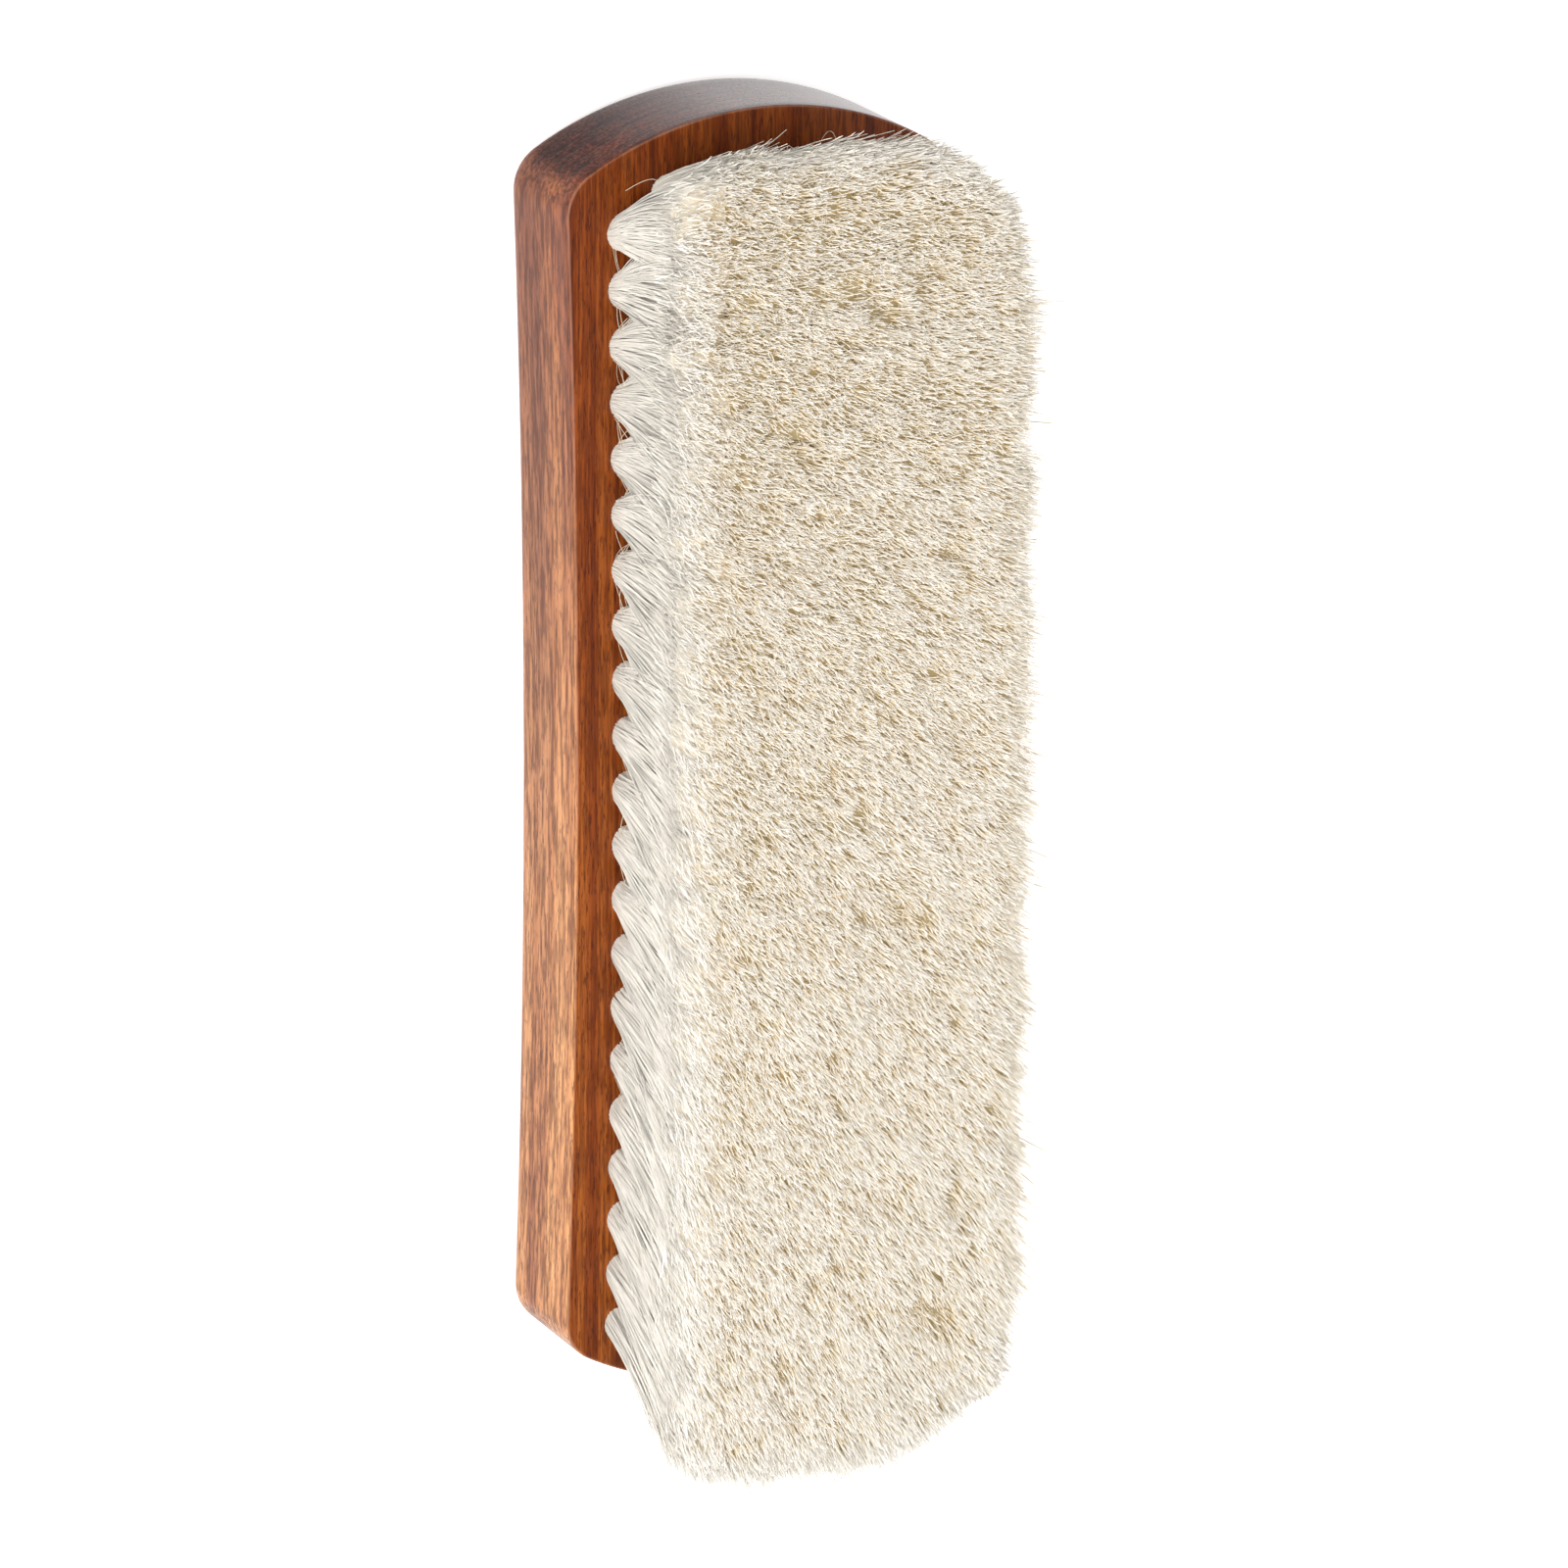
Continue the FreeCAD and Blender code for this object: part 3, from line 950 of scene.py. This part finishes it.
def build_stray_hairs():
    """All the loose hairs, as one piece."""
    random = np.random.default_rng(STRAY_SEED)
    paths = np.concatenate([
        gap_hairs(1, random),
        gap_hairs(-1, random),
        end_hairs(1, random),
        end_hairs(-1, random),
        tip_hairs(random),
    ])
    points, facing = tubes(paths, np.full(paths.shape[:2], STRAY_RADIUS), random)
    hair = HairMesh("stray_hairs")
    hair.add(points, facing, np.full(paths.shape[:2], STRAY_TAN), random.uniform(*STRAY_SHADE, len(paths)))
    return hair.build()


# Materials

class Paint:
    """Makes and links the nodes of a material or of the surround. A given value is a number or an output."""

    def __init__(self, tree):
        self.nodes = tree.nodes
        self.links = tree.links

    def feed(self, node, inputs):
        """Gives some of a node's inputs their values."""
        for key, given in inputs.items():
            if isinstance(given, bpy.types.NodeSocket):
                self.links.new(given, node.inputs[key])
            else:
                node.inputs[key].default_value = given

    def node(self, kind, inputs=None):
        """New node with some of its inputs given."""
        node = self.nodes.new("ShaderNode" + kind)
        self.feed(node, inputs or {})
        return node

    def attribute(self, name):
        """A value that the mesh carries at its points."""
        node = self.node("Attribute")
        node.attribute_name = name
        return node.outputs["Fac"]

    def noise(self, kind):
        """Noise that is drawn out along the axes by its kind's scale."""
        place = self.node("TexCoord").outputs["Object"]
        place = self.node("Mapping", {"Vector": place, "Scale": kind.scale}).outputs["Vector"]
        inputs = {"Vector": place, "Scale": kind.size, "Detail": kind.detail, "Roughness": NOISE_ROUGHNESS}
        return self.node("TexNoise", inputs).outputs["Fac"]

    def ramp(self, value, stops):
        """Colours by value: stops are (position, colour)."""
        node = self.node("ValToRGB", {"Fac": value})
        elements = node.color_ramp.elements
        while len(elements) < len(stops):
            elements.new(1)
        for element, (position, colour) in zip(elements, stops):
            element.position = position
            element.color = (*colour, 1)
        return node.outputs["Color"]

    def mixed(self, kind, factor, first, second):
        """Lays the second colour over the first."""
        node = self.node("Mix")
        node.data_type = "RGBA"
        node.blend_type = kind
        self.feed(node, {"Factor": factor, "A": first, "B": second})
        return node.outputs["Result"]

    def graded(self, value, own_range, wanted_range=(0, 1)):
        """A value's range, taken to another range and held within it."""
        names = ("Value", "From Min", "From Max", "To Min", "To Max")
        inputs = dict(zip(names, (value, *own_range, *wanted_range)))
        return self.node("MapRange", inputs).outputs["Result"]

    def calculated(self, operation, *given):
        """Result of a calculation."""
        node = self.node("Math")
        node.operation = operation
        self.feed(node, dict(enumerate(given)))
        return node.outputs["Value"]

    def split(self, vector):
        """The three parts of a vector."""
        return self.node("SeparateXYZ", {"Vector": vector}).outputs

    def bumped(self, height, relief, normal=None):
        """Fine relief by height, in millimetres, on top of another normal if there is one."""
        node = self.node("Bump", {"Strength": BUMP_STRENGTH, "Distance": relief * MM, "Height": height})
        if normal:
            self.feed(node, {"Normal": normal})
        return node.outputs["Normal"]

    def seen_directly(self):
        """1 for the camera, for reflections and for light through glass, and 0 for light on the object."""
        path = self.node("LightPath")
        seen = path.outputs["Is Camera Ray"]
        for kind in ("Is Glossy Ray", "Is Transmission Ray"):
            seen = self.calculated("MAXIMUM", seen, path.outputs[kind])
        return seen


def new_material(name):
    """New material, its paint and its main shader."""
    made = bpy.data.materials.new(name)
    made.use_nodes = True
    return made, Paint(made.node_tree), made.node_tree.nodes["Principled BSDF"]


def grain_colour(paint, fine, up):
    """Broad streaks and fine grain along X. The bristle face shows less of the fine grain."""
    colour = paint.ramp(paint.noise(STREAKS), STREAK_RAMP)
    fine_share = paint.graded(up, (0, 1), (1, FACE_FINE))
    return paint.mixed("MULTIPLY", fine_share, colour, paint.ramp(fine, FINE_RAMP))


def with_painted_shade(paint, colour, up):
    """Painted shade: darkens a band along the middle of the wall, and the wood towards the +X end."""
    spot = paint.split(paint.node("TexCoord").outputs["Object"])
    band = paint.ramp(paint.graded(spot["Z"], (0, block_height * MM)), BAND_RAMP)
    band = paint.calculated("MULTIPLY", band, paint.graded(spot["X"], BAND_PLACES, BAND_SHARES))
    colour = paint.mixed("MULTIPLY", band, colour, BAND_TINT)
    darker = paint.graded(spot["X"], DARKER_END_PLACES, DARKER_END_SHARES)
    darker = paint.calculated("MULTIPLY", darker, paint.graded(up, (0, 1), (1, FACE_DARKER)))
    return paint.mixed("MULTIPLY", darker, colour, END_SHADE_TINT)


def with_rubbed_edges(paint, colour):
    """Rubs the lacquer off in patches along the edges."""
    patches = paint.graded(paint.noise(RUBBED_PATCHES), PATCH_VALUES, RUBBED_SHARES)
    rubbed = paint.calculated("MULTIPLY", paint.attribute("wear"), patches)
    return paint.mixed("MIX", rubbed, colour, RUBBED_COLOUR)


def coat_weight(paint, sideways, at_end):
    """Weight of the satin coat, which goes from dull to glossy along the end wall."""
    end_coat = paint.graded(sideways, END_WALL_TURN, END_WALL_COAT)
    return paint.calculated("MULTIPLY_ADD", end_coat, at_end, COAT_WEIGHT)


def wood_material():
    """Reddish hardwood under satin lacquer: streaks and pores along X, painted shade on a band and towards
    +X, a face partly stained and partly painted shade, darker end grain.
    """
    made, paint, shader = new_material("lacquered_wood")
    facing = paint.split(paint.node("NewGeometry").outputs["Normal"])
    up = paint.graded(facing["Z"], FACE_UP)
    at_end = paint.graded(paint.calculated("ABSOLUTE", facing["X"]), WALL_ALONG)
    fine = paint.noise(FINE_GRAIN)
    pore = paint.graded(paint.noise(PORES), PORE_VALUES, (0, PORE_SHARE))
    end_streaks = paint.noise(END_STREAKS)

    colour = grain_colour(paint, fine, up)
    # painted shade on the wall's band and towards the +X end
    colour = with_painted_shade(paint, colour, up)
    colour = paint.mixed("MIX", pore, colour, PORE_COLOUR)
    # the bristle face's tint: partly stain, partly painted shade
    colour = paint.mixed("MULTIPLY", up, colour, FACE_STAIN_AND_SHADE_TINT)
    colour = paint.mixed("MULTIPLY", at_end, colour, END_WALL_TINT)
    colour = paint.mixed("MULTIPLY", at_end, colour, paint.ramp(end_streaks, END_RAMP))
    hollow = paint.bumped(paint.graded(pore, (0, PORE_SHARE), (1, 0)), PORE_RELIEF)
    scratched = paint.calculated("MULTIPLY", at_end, end_streaks)
    paint.feed(shader, {
        "Base Color": with_rubbed_edges(paint, colour),
        "Roughness": paint.graded(fine, FINE_VALUES, WOOD_ROUGHNESS),
        "Specular IOR Level": WOOD_SPECULAR,
        "Normal": paint.bumped(scratched, END_RELIEF, hollow),
        "Coat Weight": coat_weight(paint, facing["Y"], at_end),
        "Coat IOR": COAT_IOR,
        "Coat Roughness": COAT_ROUGHNESS,
    })
    return made


def hair_material():
    """Cream goat hair: pale at the trimmed tips and on the sides, with painted warm shade as tan between the
    tips and on shaded sides.
    """
    made, paint, shader = new_material("goat_hair")
    shade = paint.attribute("shade")
    colour = paint.ramp(paint.attribute("tan_and_shade"), TAN_AND_SHADE_RAMP)
    paint.feed(shader, {
        "Base Color": paint.mixed("MULTIPLY", 1, colour, paint.ramp(shade, SHADE_RAMP)),
        "Roughness": paint.graded(shade, (0, 1), HAIR_ROUGHNESS),
        "Normal": paint.bumped(paint.noise(HAIR_SCALES), FINE_RELIEF),
    })
    return made


def wire_material():
    """Flat steel wire with fine drawing lines along it."""
    made, paint, shader = new_material("flat_wire")
    lines = paint.noise(DRAWN_LINES)
    paint.feed(shader, {
        "Metallic": 1,
        "Base Color": paint.ramp(lines, WIRE_RAMP),
        "Roughness": paint.graded(lines, LINE_VALUES, WIRE_ROUGHNESS),
        "Normal": paint.bumped(lines, FINE_RELIEF),
    })
    return made


# Stage

def floor_material():
    """White floor that keeps the shadow, lifted to white where it is seen."""
    made, paint, shader = new_material("white_floor")
    paint.feed(shader, {"Base Color": FLOOR_GREY, "Roughness": FLOOR_ROUGHNESS})
    level = paint.graded(paint.seen_directly(), (0, 1), (0, FLOOR_GLOW))
    glow = paint.node("Emission", {"Strength": level})
    both = paint.node("AddShader", {0: shader.outputs["BSDF"], 1: glow.outputs["Emission"]})
    paint.feed(paint.nodes["Material Output"], {"Surface": both.outputs["Shader"]})
    return made


def build_stage():
    """A large white floor under the brush, and a white surround."""
    corners = [(-1, -1), (1, -1), (1, 1), (-1, 1)]
    floor = new_mesh("floor", [(x * FLOOR_HALF, y * FLOOR_HALF, 0) for x, y in corners], [(0, 1, 2, 3)])
    floor.location.z = -FLOOR_DROP * MM
    floor.data.materials.append(floor_material())
    world = bpy.data.worlds.new("surround")
    world.use_nodes = True
    bpy.context.scene.world = world
    paint = Paint(world.node_tree)
    level = paint.graded(paint.seen_directly(), (0, 1), (SURROUND_LIGHT, 1))
    paint.feed(paint.nodes["Background"], {"Color": (1, 1, 1, 1), "Strength": level})


def area_light(name, place, size, power):
    """Soft square lamp that faces the brush."""
    lamp = bpy.data.lights.new(name, "AREA")
    lamp.size = size
    lamp.energy = power
    thing = new_object(name, lamp)
    thing.location = place
    thing.rotation_mode = "QUATERNION"
    thing.rotation_quaternion = Vector(place).to_track_quat("Z", "Y")


def build_camera():
    """The photograph's view: a long lens, with the brush's length up the picture."""
    camera = new_object("camera", bpy.data.cameras.new("camera"))
    camera.data.sensor_fit = "HORIZONTAL"
    camera.data.sensor_width = 36
    camera.data.lens = 198.3
    place = CAMERA_PLACE * MM
    back = (place - CAMERA_AIM * MM).normalized()
    right = CAMERA_TOP.cross(back).normalized()
    up = back.cross(right)
    camera.matrix_world = Matrix.Translation(place) @ Matrix((right, up, back)).transposed().to_4x4()
    bpy.context.scene.camera = camera


# The scene

wood = wood_material()
hair = hair_material()
wire = wire_material()

block = build_block()
block.data.materials.append(wood)
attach(block, "root")
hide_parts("block")

for number, node in enumerate(cross_rows):
    piece = build_cross_row(number)
    piece.data.materials.append(hair)
    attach(piece, "root")
    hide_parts(node)

strays = build_stray_hairs()
strays.data.materials.append(hair)
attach(strays, "root")

for node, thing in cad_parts.items():
    if node.startswith("anchors"):
        thing.data.materials.clear()
        thing.data.materials.append(wire)

build_stage()
build_camera()
for lamp in LAMPS:
    area_light(*lamp)

bpy.context.scene.view_settings.view_transform = "Standard"
